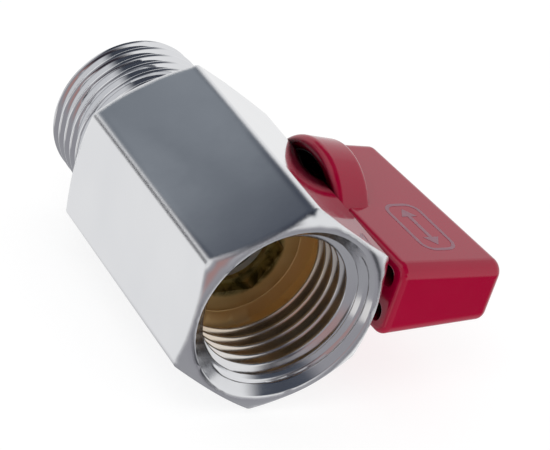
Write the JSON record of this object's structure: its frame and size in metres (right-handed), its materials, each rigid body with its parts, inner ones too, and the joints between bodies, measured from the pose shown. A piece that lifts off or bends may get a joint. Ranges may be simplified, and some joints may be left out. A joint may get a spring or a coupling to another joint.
{
  "type": "mini ball valve",
  "caption": "Chromed hexagon ball valve for gas, male by female pipe thread, with a short red lever that turns a quarter turn to close it.",
  "frame": {"origin": "centre of the ball, where the flow axis and the stem axis cross", "axes": "+X along the flow axis to the female end, +Y out along the stem through the lever, +Z across both, to the hexagon's upper edge"},
  "size_m": [0.0472, 0.0444, 0.0286],
  "materials": {
    "chromed_brass": "polished chrome plate outside, thinner inside the mouth",
    "bare_brass": "machined brass",
    "seat_plastic": "smooth low-friction plastic",
    "polished_ball": "mirror polished chrome plate",
    "seal_rubber": "black moulded rubber",
    "red_enamel": "glossy red enamel on a die casting",
    "zinc_steel": "zinc-plated steel"
  },
  "bodies": {
    "housing": {"body": "chromed_brass", "seat_retainer": "bare_brass", "front_seat": "seat_plastic", "rear_seat": "seat_plastic", "thrust_washer": "seat_plastic"},
    "lever_assembly": {"lever": "red_enamel", "lever_screw": "zinc_steel", "lock_washer": "zinc_steel", "stem": "bare_brass", "lower_stem_o_ring": "seal_rubber", "upper_stem_o_ring": "seal_rubber"},
    "ball_body": {"ball": "polished_ball"}
  },
  "joints": [
    {"name": "lever_turn", "type": "hinge", "parent": "housing", "child": "lever_assembly", "pos_m": [0, 0, 0], "axis": [0, -1, 0], "range_deg": [0, 90]},
    {"name": "ball_turn", "type": "hinge", "parent": "housing", "child": "ball_body", "pos_m": [0, 0, 0], "axis": [0, -1, 0], "range_deg": [0, 90]}
  ],
  "couplings": [
    {"joint": "ball_turn", "follows": "lever_turn", "ratio": 1}
  ]
}
